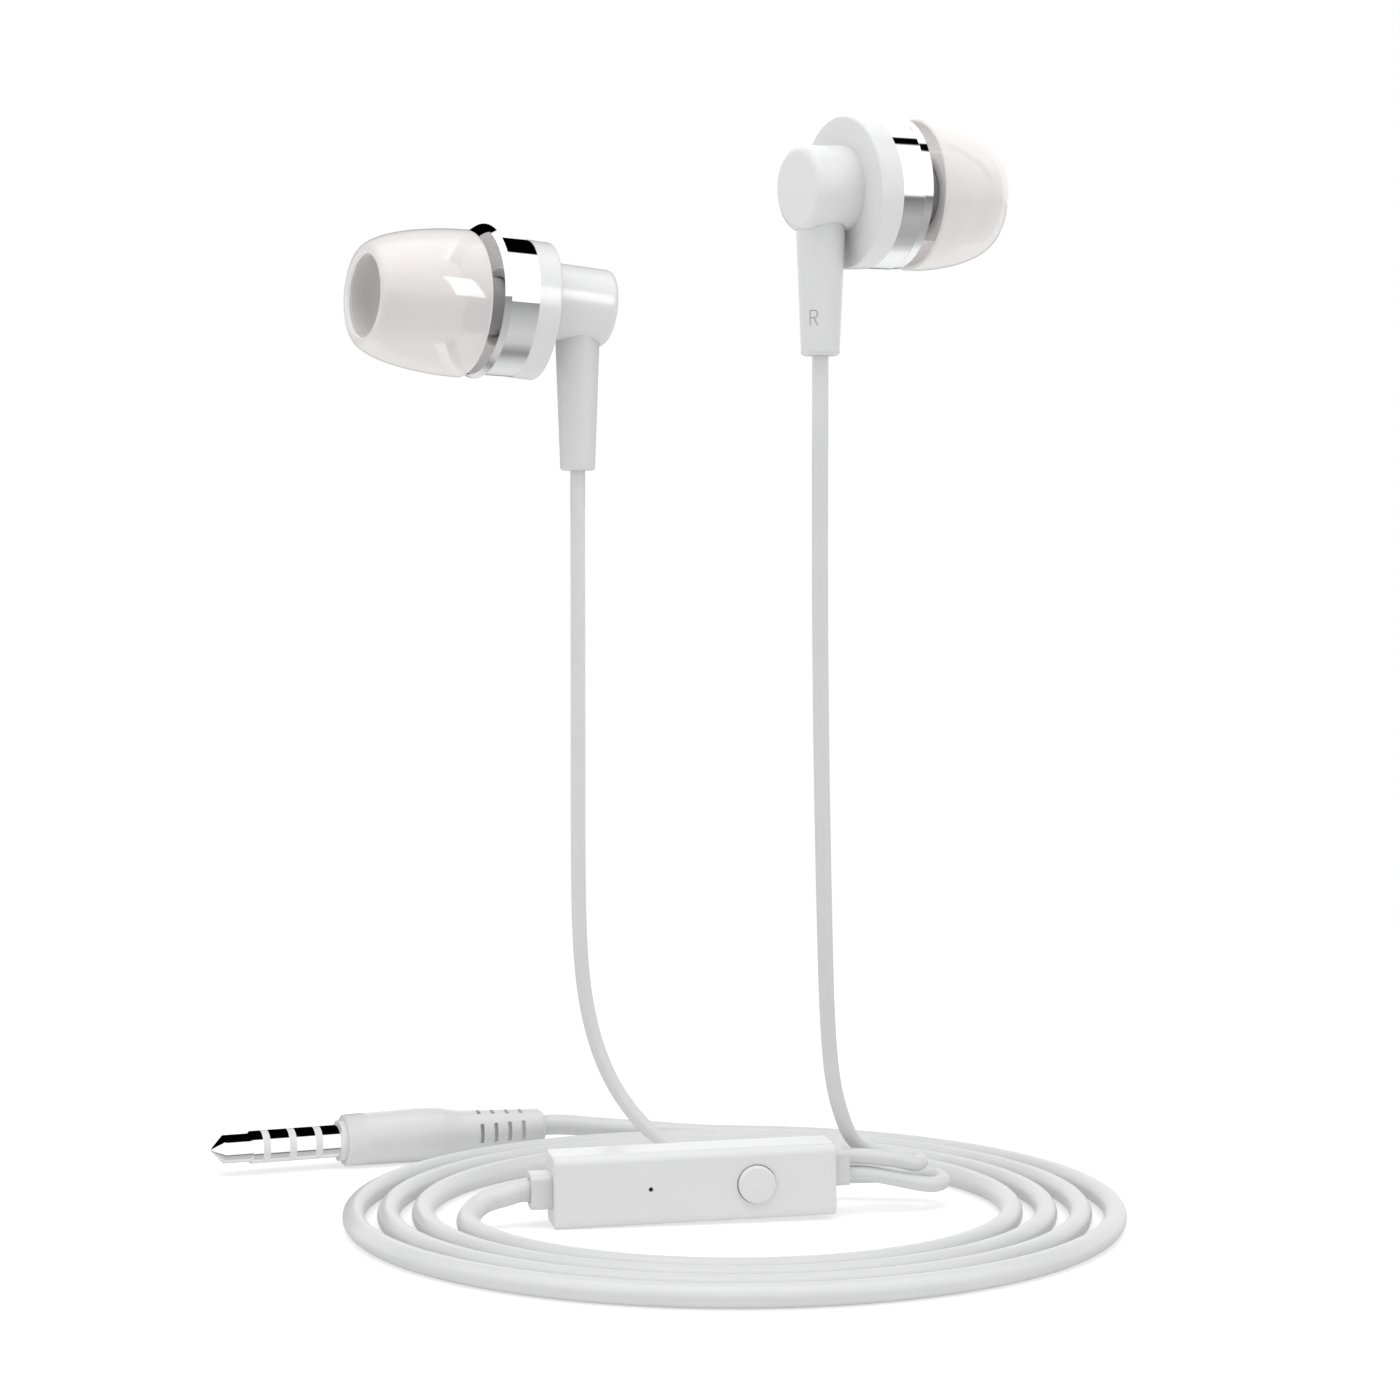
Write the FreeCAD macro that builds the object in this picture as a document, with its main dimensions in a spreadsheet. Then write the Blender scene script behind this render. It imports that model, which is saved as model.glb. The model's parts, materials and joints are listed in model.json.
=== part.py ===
import FreeCAD, Part
import math
import os
import Sketcher
from FreeCAD import Vector, Placement, Rotation

# Wired in-ear earphones with an inline remote, a coiled lead and a 3.5 mm four-pole plug.
# Frame: millimetres, +Z up, floor at Z = 0, origin at the centre of the lead's coil on the floor.
# +Y runs away from the viewer's side, the remote's button faces -Y.

doc = FreeCAD.newDocument("earphones")
sheet = doc.addObject("Spreadsheet::Sheet", "Sizes")

# ----------------------------------------------------------------------------------------------
# driving dimensions
# ----------------------------------------------------------------------------------------------
SIZES = [
    # plug, standard 3.5 mm four-pole
    ("plug_radius", 1.75), ("plug_length", 14.0),
    ("tip_waist_radius", 1.52), ("tip_cone_length", 1.25), ("tip_waist_end", 4.2),
    ("insulator_length", 0.8), ("ring_length", 2.1), ("sleeve_length", 2.1),
    ("rod_radius", 0.5), ("liner_radius", 0.85),
    ("shoulder_length", 0.6), ("shoulder_radius", 2.2),
    # plug boot and the solder core inside it
    ("boot_length", 23.0), ("boot_end_radius", 2.8), ("boot_bulge_radius", 2.95),
    ("boot_neck_radius", 2.35), ("boot_tail_radius", 1.95), ("slot_width", 0.45),
    ("core_radius", 1.55), ("core_length", 8.0),
    # lead and ear cables
    ("lead_radius", 1.13), ("ear_radius", 0.78), ("hole_play", 0.03), ("collar_play", 0.12),
    ("coil_radius", 38.96), ("coil_pitch", 3.44), ("coil_shift_x", -0.86), ("coil_shift_y", -0.65),
    # remote
    ("remote_length", 28.6), ("remote_height", 7.25), ("remote_depth", 5.8),
    ("remote_wall", 0.9), ("remote_round", 0.9),
    ("button_radius", 1.9), ("button_hole", 1.97), ("button_flange", 2.45), ("button_at", 20.4),
    ("mic_at", 9.7), ("mic_hole_radius", 0.23), ("mic_radius", 2.0),
    ("collar_left_length", 2.1), ("collar_right_length", 1.6),
    ("board_length", 25.0), ("board_height", 4.4), ("board_thickness", 0.8),
    # both earbuds
    ("disc_radius", 7.2), ("stub_radius", 4.05), ("stub_bore", 3.15), ("barrel_bore", 4.95),
    ("driver_radius", 4.9), ("nozzle_radius", 3.0), ("nozzle_bore", 2.2), ("barrel_wall", 0.8),
    ("stem_top_radius", 2.3), ("stem_foot_radius", 1.82),
    ("tip_mouth_radius", 4.45), ("tip_core_radius", 4.25), ("tip_bore_radius", 3.03),
]

# Sizes that differ between the earbuds: name, left, right. Aliases are left_NAME and right_NAME.
EARBUD_SIZES = [
    # lengths along the rear axis: disc, stub, and stem axis behind the disc's back face
    ("disc", 2.45, 2.3), ("stub", 7.3, 5.0), ("stem_at", 4.0, 2.36),
    # lengths along the nozzle axis; the gap lies between face plate and ear tip
    ("barrel", 4.6, 2.8), ("plate", 0.6, 0.9), ("gap", 1.4, 1.5), ("tip", 11.0, 8.1),
    # disc centre below the stub axis; face plate radii and its rise above the nozzle axis
    ("drop", 1.2, 0.4),
    ("lip_radius", 8.0, 7.17), ("lip_front", 7.6, 7.09), ("lip_rise", 0.4, 0.0),
    # ear tip's rim radius
    ("rim", 7.6, 7.2),
    # directions in degrees
    ("rear_yaw", 21.2, 29.5), ("rear_pitch", 6.0, 3.5),
    ("front_yaw", 29.5, 25.5), ("front_pitch", 2.5, 0.0),
    # stem's place, height of the stub axis at the stem, and height of the stem's foot
    ("stem_x", -16.38, 7.85), ("stem_y", 18.0, -17.0),
    ("axis_z", 92.84, 101.3), ("foot_z", 75.5, 85.64),
]
SIZES += [("left_" + name, left) for name, left, _ in EARBUD_SIZES]
SIZES += [("right_" + name, right) for name, _, right in EARBUD_SIZES]

for row, (alias, number) in enumerate(SIZES, start=1):
    sheet.set("A%d" % row, alias)
    sheet.set("B%d" % row, repr(number))
    sheet.setAlias("B%d" % row, alias)
doc.recompute()


class Size:
    """A number together with the sheet expression that gives it."""

    def __init__(self, value, text):
        self.value = value
        self.text = text

    def __add__(self, other):
        other = as_size(other)
        return Size(self.value + other.value, "(%s + %s)" % (self.text, other.text))

    def __sub__(self, other):
        other = as_size(other)
        return Size(self.value - other.value, "(%s - %s)" % (self.text, other.text))

    def __mul__(self, other):
        other = as_size(other)
        return Size(self.value * other.value, "(%s * %s)" % (self.text, other.text))

    def __rsub__(self, other):
        return as_size(other) - self

    def drive(self, obj, path):
        """Bind a property or constraint, unless this is a plain number."""
        if "Sizes." in self.text:
            obj.setExpression(path, self.text)


def as_size(number):
    if isinstance(number, Size):
        return number
    return Size(float(number), repr(float(number)))


def mm(alias):
    """The plain number behind an alias."""
    return float(sheet.get(alias))


def size(alias):
    """The bound Size behind an alias."""
    return Size(mm(alias), "Sizes." + alias)


def set_bound(obj, name, length):
    length = as_size(length)
    setattr(obj, name, length.value)
    length.drive(obj, name)


EAR_HOLE = size("ear_radius") + size("hole_play")
LEAD_HOLE = size("lead_radius") + size("hole_play")
NOZZLE_HOLE = size("nozzle_radius") + size("hole_play")

# ----------------------------------------------------------------------------------------------
# frames
# ----------------------------------------------------------------------------------------------


def frame_of(origin, x, y, z):
    """Placement from an origin and three axis directions."""
    return Placement(FreeCAD.Matrix(
        x.x, y.x, z.x, origin.x,
        x.y, y.y, z.y, origin.y,
        x.z, y.z, z.z, origin.z,
        0, 0, 0, 1))


def axis_frame(origin, axis):
    """Local Z along the axis, local Y as near to up as possible."""
    z = Vector(axis).normalize()
    x = Vector(0, 0, 1).cross(z)
    x.normalize()
    y = z.cross(x)
    y.normalize()
    return frame_of(origin, x, y, z)


def at(frame, x=0.0, y=0.0, z=0.0):
    """The frame moved along its own axes."""
    return frame.multiply(Placement(Vector(x, y, z), Rotation()))


# Half turn about local Y: Z then runs the opposite way.
REVERSED = frame_of(Vector(0, 0, 0), Vector(-1, 0, 0), Vector(0, 1, 0), Vector(0, 0, -1))

# ----------------------------------------------------------------------------------------------
# sketches
# ----------------------------------------------------------------------------------------------
H_AXIS, V_AXIS, ORIGIN = -1, -2, -1     # Sketcher's geometry numbers
START, END, CENTRE = 1, 2, 3            # Sketcher's point numbers


def constrain(sketch, length, *definition):
    index = sketch.addConstraint(Sketcher.Constraint(*definition, length.value))
    length.drive(sketch, "Constraints[%d]" % index)


def hold_point(sketch, geometry, point, x, y):
    """Hold a point at its distances from the origin."""
    for kind, axis, distance in (("DistanceX", V_AXIS, x), ("DistanceY", H_AXIS, y)):
        if abs(distance.value) < 1e-9:
            sketch.addConstraint(Sketcher.Constraint("PointOnObject", geometry, point, axis))
        else:
            constrain(sketch, distance, kind, ORIGIN, START, geometry, point)


def draw_polygon(sketch, corners):
    corners = [(as_size(x), as_size(y)) for x, y in corners]
    count = len(corners)
    for i in range(count):
        ends = [Vector(x.value, y.value, 0) for x, y in (corners[i], corners[(i + 1) % count])]
        sketch.addGeometry(Part.LineSegment(*ends), False)
    for i in range(count):
        sketch.addConstraint(Sketcher.Constraint("Coincident", i, END, (i + 1) % count, START))
    for i, (x, y) in enumerate(corners):
        hold_point(sketch, i, START, x, y)


def draw_circle(sketch, x, y, radius):
    x, y, radius = as_size(x), as_size(y), as_size(radius)
    outline = Part.Circle(Vector(x.value, y.value, 0), Vector(0, 0, 1), radius.value)
    geometry = sketch.addGeometry(outline, False)
    constrain(sketch, radius, "Radius", geometry)
    hold_point(sketch, geometry, CENTRE, x, y)


def sketch_in(body, name, corners=(), circles=(), role="XY_Plane"):
    """Sketch on one of the body's origin planes: one polygon, or circles (x, y, radius)."""
    sketch = body.newObject("Sketcher::SketchObject", name)
    planes = [f for f in body.Origin.OriginFeatures if getattr(f, "Role", "") == role]
    sketch.AttachmentSupport = [(planes[0], "")]
    sketch.MapMode = "FlatFace"
    if corners:
        draw_polygon(sketch, corners)
    for x, y, radius in circles:
        draw_circle(sketch, x, y, radius)
    return sketch


def rectangle(x0, y0, x1, y1):
    return [(x0, y0), (x1, y0), (x1, y1), (x0, y1)]


# ----------------------------------------------------------------------------------------------
# solids
# ----------------------------------------------------------------------------------------------
PIECES = []


def piece(obj):
    """Mark an object as a piece to be exported under its Label."""
    PIECES.append(obj)
    return obj


def new_body(label):
    body = doc.addObject("PartDesign::Body", "body_" + label)
    body.Label = label
    return body


def pad(body, name, profile, length):
    feature = body.newObject("PartDesign::Pad", name)
    feature.Profile = profile
    set_bound(feature, "Length", length)
    doc.recompute()


def pocket(body, name, profile, length, midplane=False):
    """Pocket along the sketch's normal, or to both sides of its plane."""
    feature = body.newObject("PartDesign::Pocket", name)
    feature.Profile = profile
    set_bound(feature, "Length", length)
    if midplane:
        feature.Midplane = True
    else:
        feature.Reversed = True
    doc.recompute()


def turned(label, profile, where):
    """Body of revolution about its own Z; profile points are (radius, height)."""
    body = new_body(label)
    sketch = sketch_in(body, "profile_" + label, profile, role="XZ_Plane")
    turn = body.newObject("PartDesign::Revolution", "turn_" + label)
    turn.Profile = sketch
    turn.ReferenceAxis = (sketch, ["V_Axis"])
    turn.Angle = 360.0
    body.Placement = where
    doc.recompute()
    return body


def ring(label, inner, outer, low, high, where):
    """Turned piece with a rectangular section; a plain rod or disc when inner is 0."""
    return piece(turned(label, rectangle(inner, low, outer, high), where))


def slab(label, corners, thickness, where):
    body = new_body(label)
    pad(body, "pad_" + label, sketch_in(body, "outline_" + label, corners), thickness)
    body.Placement = where
    doc.recompute()
    return piece(body)


def round_edges(body, chosen, radius):
    """Fillet the edges of the body's tip for which chosen(edge) is true."""
    tip = body.Tip
    names = ["Edge%d" % i for i, edge in enumerate(tip.Shape.Edges, start=1) if chosen(edge)]
    fillet = body.newObject("PartDesign::Fillet", "fil_" + body.Label)
    fillet.Base = (tip, names)
    set_bound(fillet, "Radius", radius)
    doc.recompute()


def circle_edge(radius, z):
    """Edge test: a circle of this radius centred at this height."""
    def chosen(edge):
        curve = edge.Curve
        return (isinstance(curve, Part.Circle) and abs(curve.Radius - radius) < 1e-3
                and abs(curve.Center.z - z) < 1e-3)
    return chosen


def cylinder(name, radius, height, where):
    tool = doc.addObject("Part::Cylinder", name)
    set_bound(tool, "Radius", radius)
    tool.Height = height
    tool.Placement = where
    return tool


def cut_piece(label, base, tool):
    cut = doc.addObject("Part::Cut", "cut_" + label)
    cut.Base = base
    cut.Tool = tool
    base.Label = "blank_" + label
    cut.Label = label
    doc.recompute()
    return piece(cut)


def solid_feature(label, shape):
    feature = doc.addObject("Part::Feature", "solid_" + label)
    feature.Shape = shape
    feature.Label = label
    return feature


# ----------------------------------------------------------------------------------------------
# earbuds
# ----------------------------------------------------------------------------------------------
FLANGE = 0.3            # thickness of the nozzle's seat flange
SCREEN_RECESS = 0.3     # depth of the recess at the nozzle's mouth


class Earbud:
    """Side "left" points its nozzle towards -X and -Y, side "right" towards +X and +Y."""

    def __init__(self, side, sign):
        self.side = side
        self.sign = sign
        stem_x, stem_y = self.mm("stem_x"), self.mm("stem_y")
        self.stem_axis = Vector(stem_x, stem_y, self.mm("axis_z"))
        self.foot = Vector(stem_x, stem_y, self.mm("foot_z"))
        self.stem_height = self.mm("axis_z") - self.mm("foot_z")
        self.stem_top = self.stem_height - 0.9

        forward = self.direction("rear")
        stub_front = self.stem_axis + forward * (self.mm("stem_at") + self.mm("disc"))
        rear = axis_frame(stub_front, forward)
        up = rear.Rotation.multVec(Vector(0, 1, 0))
        pivot = stub_front - up * self.mm("drop")
        # Both frames start at the disc's centre on its front plane.
        # Rear frame: local Z runs backward. Front frame: local Z runs out along the nozzle.
        left = rear.Rotation.multVec(Vector(-1, 0, 0))
        self.rear_frame = frame_of(pivot, left, up, forward * -1.0)
        self.front_frame = axis_frame(pivot, self.direction("front"))

        # Along the nozzle: inner face of the barrel's front wall, and the nozzle's reach from it.
        self.wall_inside = self.mm("barrel") - mm("barrel_wall")
        self.reach = (mm("barrel_wall") + self.mm("plate") + self.mm("gap")
                      + self.mm("tip") - 4.0)

    def mm(self, name):
        return mm("%s_%s" % (self.side, name))

    def size(self, name):
        return size("%s_%s" % (self.side, name))

    def label(self, name):
        return "%s_%s" % (self.side, name)

    def direction(self, end):
        yaw = math.radians(self.mm(end + "_yaw"))
        pitch = math.radians(self.mm(end + "_pitch"))
        return Vector(self.sign * math.cos(yaw) * math.cos(pitch),
                      self.sign * math.sin(yaw) * math.cos(pitch),
                      math.sin(pitch))

    def rear_shell(self):
        """Disc and stub in one moulding, open to the front, with a hole for the stem."""
        side = self.side
        shell = new_body(self.label("rear_shell"))
        drop, length = self.size("drop"), self.size("disc") + self.size("stub")

        disc = sketch_in(shell, "disc_" + side, circles=[(0, 0, size("disc_radius"))])
        pad(shell, "disc_pad_" + side, disc, self.size("disc"))
        stub = sketch_in(shell, "stub_" + side, circles=[(0, drop, size("stub_radius"))])
        pad(shell, "stub_pad_" + side, stub, length)
        round_edges(shell, circle_edge(mm("stub_radius"), length.value), 0.7)
        round_edges(shell, circle_edge(mm("disc_radius"), self.mm("disc")), 0.25)

        recess = sketch_in(shell, "recess_" + side,
                           circles=[(0, 0, size("driver_radius") + 0.9)])
        pocket(shell, "recess_cut_" + side, recess, 1.5)
        bore = sketch_in(shell, "bore_" + side, circles=[(0, drop, size("stub_bore"))])
        pocket(shell, "bore_cut_" + side, bore, length - 0.9)
        shell.Placement = self.rear_frame

        depth = 8.0
        hole = cylinder("stem_hole_" + side, size("stem_top_radius") + size("hole_play"), depth,
                        Placement(self.stem_axis - Vector(0, 0, depth), Rotation()))
        cut_piece(self.label("rear_shell"), shell, hole)

    def stem(self):
        """Tapered sleeve with a cable hole, its top inside the stub."""
        shoulder = self.stem_height - 4.4
        stem = turned(self.label("stem"), [
            (EAR_HOLE, 0), (size("stem_foot_radius"), 0),
            (size("stem_top_radius"), shoulder), (size("stem_top_radius"), self.stem_top),
            (EAR_HOLE, self.stem_top)], Placement(self.foot, Rotation()))
        round_edges(stem, circle_edge(mm("stem_foot_radius"), 0.0), 0.4)
        piece(stem)

    def cable_end(self):
        """Short length of ear cable held in the stem, and its anchor inside the stub."""
        below = 1.1
        ring(self.label("cable_end"), 0, size("ear_radius"), 0, self.stem_height + 0.6 + below,
             Placement(self.foot - Vector(0, 0, below), Rotation()))
        ring(self.label("cable_anchor"), EAR_HOLE, 1.45, 0, 1.3,
             Placement(self.foot + Vector(0, 0, self.stem_top + 0.02), Rotation()))

    def barrel(self):
        """Cup with a nozzle hole, its back cut off along the disc's front plane."""
        bore, outer = size("barrel_bore"), size("disc_radius") - 0.05
        front = self.size("barrel")
        inside = front - size("barrel_wall")
        barrel = turned(self.label("barrel"), [
            (bore, -2.0), (outer, -2.0), (outer, front),
            (NOZZLE_HOLE, front), (NOZZLE_HOLE, inside), (bore, inside)], self.front_frame)
        behind = cylinder("wedge_" + self.side, 12.0, 8.0, self.rear_frame)
        cut_piece(self.label("barrel"), barrel, behind)

    def face_plate(self):
        """Bevelled chrome lip; its outside may sit above the nozzle axis, its hole is on it."""
        cone = doc.addObject("Part::Cone", "lip_cone_" + self.side)
        set_bound(cone, "Radius1", self.size("lip_radius"))
        set_bound(cone, "Radius2", self.size("lip_front"))
        set_bound(cone, "Height", self.size("plate"))
        cone.Placement = at(self.front_frame, y=self.mm("lip_rise"), z=self.mm("barrel"))
        drill = cylinder("lip_hole_" + self.side, NOZZLE_HOLE, 4.0,
                         at(self.front_frame, z=self.mm("barrel") - 1.5))
        cut_piece(self.label("face_plate"), cone, drill)

    def nozzle(self):
        """Tube with a seat flange inside the barrel and a screen recessed in its mouth."""
        bore, outer = size("nozzle_bore"), size("nozzle_radius")
        mouth = FLANGE + self.reach
        piece(turned(self.label("nozzle"), [
            (bore, 0), (3.8, 0), (3.8, FLANGE), (outer, FLANGE), (outer, mouth),
            (bore + 0.4, mouth), (bore + 0.4, mouth - SCREEN_RECESS),
            (bore, mouth - SCREEN_RECESS)], at(self.front_frame, z=self.wall_inside - FLANGE)))
        screen_z = self.wall_inside + self.reach - SCREEN_RECESS + 0.02
        ring(self.label("nozzle_screen"), 0, bore + 0.38, 0, 0.12,
             at(self.front_frame, z=screen_z))

    def driver(self):
        """Driver in the barrel's bore; heights run backward from its front."""
        seat = at(self.front_frame, z=self.wall_inside - FLANGE - 0.04).multiply(REVERSED)
        radius = size("driver_radius")
        piece(turned(self.label("driver_frame"), [
            (4.4, 0), (radius, 0), (radius, 2.2), (2.4, 2.2), (2.4, 1.9), (4.4, 1.9)], seat))
        # name, inner radius, outer radius, from, to
        for name, inner, outer, low, high in (
                ("diaphragm", 0, 4.38, 0.1, 0.2),
                ("voice_coil", 1.78, 1.93, 0.22, 1.5),
                ("top_plate", 0, 1.7, 0.8, 1.08),
                ("magnet", 0, 1.6, 1.1, 1.88)):
            ring(self.label(name), inner, outer, low, high, seat)
        piece(turned(self.label("yoke"), [
            (0, 1.9), (2.05, 1.9), (2.05, 0.9), (2.37, 0.9), (2.37, 2.2), (0, 2.2)], seat))

    def ear_tip(self):
        """Dome, hollow skirt and core tube in one soft moulding."""
        length, rim = self.size("tip"), self.size("rim")
        bore, core = size("tip_bore_radius"), size("tip_core_radius")
        profile = [
            # core tube's outside and the skirt's inside
            (bore, 1.2), (core, 1.2), (core, length - 3.4), (5.1, length - 3.6),
            (6.15, length - 5.2), (rim - 0.55, 0),
            # skirt's outside and the dome
            (rim, 0), (rim - 0.1, length * 0.19), (rim - 0.35, length * 0.39),
            (rim - 0.95, length * 0.69), (rim - 1.4, length * 0.83),
            (rim - 1.95, length * 0.935), (rim - 2.5, length * 0.98),
            # mouth
            (size("tip_mouth_radius"), length), (4.2, length), (4.0, length - 0.5),
            (3.4, length - 3.3), (bore, length - 3.9)]
        rim_z = self.mm("barrel") + self.mm("plate") + self.mm("gap")
        piece(turned(self.label("ear_tip"), profile, at(self.front_frame, z=rim_z)))

    def build(self):
        self.rear_shell()
        self.stem()
        self.cable_end()
        self.barrel()
        self.face_plate()
        self.nozzle()
        self.driver()
        self.ear_tip()


left_earbud = Earbud("left", -1)
left_earbud.build()
right_earbud = Earbud("right", 1)
right_earbud.build()

# ----------------------------------------------------------------------------------------------
# remote: two shells meeting in the middle of the depth, standing on its long edge
# ----------------------------------------------------------------------------------------------
REMOTE_YAW, REMOTE_TILT = math.radians(10.2), math.radians(1.0)
REMOTE_CORNER = Vector(-17.84, -6.65, 0.0)      # lower left corner of the front face
HALF_DEPTH = mm("remote_depth") / 2
MID_HEIGHT = mm("remote_height") / 2
WALL_INSIDE = HALF_DEPTH - mm("remote_wall")    # inner face of the front wall
LEAD_HOLE_Y = 3.6                               # heights in the remote's frame
EAR_HOLES_Y = 4.5
EAR_HOLE_OFFSET = 0.87                          # each ear cable from the middle of the pair


def make_remote_frame():
    """Local X along the length, Y up the height, Z out of the front; origin at mid depth."""
    along = Vector(math.cos(REMOTE_YAW) * math.cos(REMOTE_TILT),
                   math.sin(REMOTE_YAW) * math.cos(REMOTE_TILT),
                   math.sin(REMOTE_TILT))
    away = Vector(-math.sin(REMOTE_YAW), math.cos(REMOTE_YAW), 0)
    return frame_of(REMOTE_CORNER + away * HALF_DEPTH, along, along.cross(away), away * -1.0)


remote = make_remote_frame()


def remote_shell(label):
    """Half box, open at local Z = 0, with rounded outer edges."""
    body = new_body(label)
    length, height, wall = size("remote_length"), size("remote_height"), size("remote_wall")
    depth = size("remote_depth") * 0.5
    outline = sketch_in(body, "outline_" + label, rectangle(0, 0, length, height))
    pad(body, "pad_" + label, outline, depth)
    # the two long edges of the outer face
    round_edges(body, lambda edge: (abs(edge.BoundBox.ZMin - HALF_DEPTH) < 1e-3
                                    and edge.BoundBox.XLength > 5), size("remote_round"))
    # edges of the two end faces, except those on the open side
    round_edges(body, lambda edge: (edge.BoundBox.XLength < 0.01
                                    and edge.BoundBox.ZMax > 0.5), 0.3)
    hollow = sketch_in(body, "hollow_" + label,
                       rectangle(wall, wall, length - wall, height - wall))
    pocket(body, "hollow_cut_" + label, hollow, depth - wall)
    return body


def remote_shells():
    front = remote_shell("remote_front_shell")
    middle = size("remote_height") * 0.5
    holes = sketch_in(front, "front_holes", circles=[
        (size("button_at"), middle, size("button_hole")),
        (size("mic_at"), middle, size("mic_hole_radius"))])
    pocket(front, "front_holes_cut", holes, HALF_DEPTH + 1)
    front.Placement = remote
    piece(front)

    back = remote_shell("remote_back_shell")
    turn_over = Placement(Vector(0, mm("remote_height"), 0), Rotation(Vector(1, 0, 0), 180))
    back.Placement = remote.multiply(turn_over)
    piece(back)


def remote_button():
    """Button with its flange behind the front wall, and the switch under it."""
    def under_button(z):
        return at(remote, mm("button_at"), MID_HEIGHT, z)

    flange, radius = size("button_flange"), size("button_radius")
    piece(turned("remote_button", [
        (0, 0), (flange, 0), (flange, 0.5), (radius, 0.5),
        (radius, 1.75), (radius - 0.25, 1.9), (0, 1.98)], under_button(WALL_INSIDE - 0.55)))
    plunger_length = 0.72
    ring("switch_plunger", 0, 0.6, 0, plunger_length,
         under_button(WALL_INSIDE - 0.57 - plunger_length))
    switch = slab("switch_body", rectangle(-1.3, -1.3, 1.3, 1.3), 0.5, under_button(0.02))
    bore = sketch_in(switch, "switch_bore", circles=[(0, 0, 0.63)])
    pocket(switch, "switch_bore_cut", bore, 0.6)


def circuit_board():
    slab("circuit_board", rectangle(0, 0, size("board_length"), size("board_height")),
         size("board_thickness"), at(remote, 1.8, 1.2, -mm("board_thickness")))


def microphone():
    mic_at = mm("mic_at")
    ring("mic_capsule", 0, size("mic_radius"), 0, 1.1, at(remote, mic_at, MID_HEIGHT, 0.02))
    ring("mic_gasket", 0.5, 1.9, 0, 0.8, at(remote, mic_at, MID_HEIGHT, 1.15))


def collar(label, start_x, length, height, depth, middle_y, holes, radius):
    """Rounded block on an end of the remote; holes are offsets up its height."""
    # Drawn about (SHIFT, SHIFT) in its sketches; the placement takes the shift back.
    SHIFT = 10
    body = new_body(label)
    block = rectangle(SHIFT - height / 2, SHIFT - depth / 2,
                      SHIFT + height / 2, SHIFT + depth / 2)
    outline = sketch_in(body, "outline_" + label, block, role="YZ_Plane")
    pad(body, "pad_" + label, outline, length)
    round_edges(body, lambda edge: edge.BoundBox.XLength > 0.5, 0.6)
    circles = [(SHIFT + offset, SHIFT, radius) for offset in holes]
    bores = sketch_in(body, "holes_" + label, circles=circles, role="YZ_Plane")
    pocket(body, "holes_cut_" + label, bores, 5.0, midplane=True)
    body.Placement = at(remote, start_x, middle_y - SHIFT, -SHIFT)
    piece(body)


def remote_collars():
    gap = 0.01      # between collar and shells
    collar("remote_collar_left", start_x=-mm("collar_left_length") - gap,
           length=size("collar_left_length"), height=3.5, depth=3.5, middle_y=LEAD_HOLE_Y,
           holes=[0.0], radius=size("lead_radius") + size("collar_play"))
    collar("remote_collar_right", start_x=mm("remote_length") + gap,
           length=size("collar_right_length"), height=3.7, depth=3.4, middle_y=EAR_HOLES_Y,
           holes=[-EAR_HOLE_OFFSET, EAR_HOLE_OFFSET], radius=EAR_HOLE)


remote_shells()
remote_button()
circuit_board()
microphone()
remote_collars()

# ----------------------------------------------------------------------------------------------
# plug: local Z runs from the boot's face toward the plug's tip
# ----------------------------------------------------------------------------------------------
BOOT_TAIL = Vector(-21.2, 35.2, 2.85)
PLUG_DIRECTION = Vector(-0.922, -0.387, 0).normalize()
plug_frame = axis_frame(BOOT_TAIL + PLUG_DIRECTION * mm("boot_length"), PLUG_DIRECTION)
boot_frame = plug_frame.multiply(REVERSED)      # local Z from the boot's face to its tail


def plug_contacts():
    """Shoulder, sleeve, rings and insulators stacked on the liner; the tip's rod inside it."""
    liner, radius, rod = size("liner_radius"), size("plug_radius"), size("rod_radius")
    level = as_size(0)
    # name, outer radius, length
    for name, outer, length in (
            ("shoulder", size("shoulder_radius"), size("shoulder_length")),
            ("sleeve", radius, size("sleeve_length")),
            ("insulator_a", radius, size("insulator_length")),
            ("ring_a", radius, size("ring_length")),
            ("insulator_b", radius, size("insulator_length")),
            ("ring_b", radius, size("ring_length")),
            ("insulator_c", radius, size("insulator_length"))):
        ring("plug_" + name, liner, outer, level, level + length, plug_frame)
        level = level + length
    ring("plug_liner", rod, liner, -3.0, level, plug_frame)

    end = size("shoulder_length") + size("plug_length")
    waist, waist_radius = end - size("tip_waist_end"), size("tip_waist_radius")
    piece(turned("plug_tip", [
        (0, -4.0), (rod, -4.0), (rod, level), (radius, level), (radius, waist),
        (waist_radius, waist + 0.12), (waist_radius, end - size("tip_cone_length")),
        (0.22, end), (0, end)], plug_frame))
    ring("plug_solder_core", liner + 0.02, size("core_radius"), 0 - size("core_length"), -0.02,
         plug_frame)


def boot_slots():
    """Four rows of four slots around the boot's tapered end."""
    slots = []
    for row in range(4):
        for quarter in range(4):
            slot = Part.makeBox(1.5, 2.1, mm("slot_width"),
                                Vector(1.62, -1.05, 15.1 + 1.63 * row))
            slot.rotate(Vector(0, 0, 0), Vector(0, 0, 1), 90.0 * quarter)
            slots.append(slot)
    feature = solid_feature("boot_slots", Part.makeCompound(slots))
    feature.Placement = boot_frame
    return feature


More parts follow.
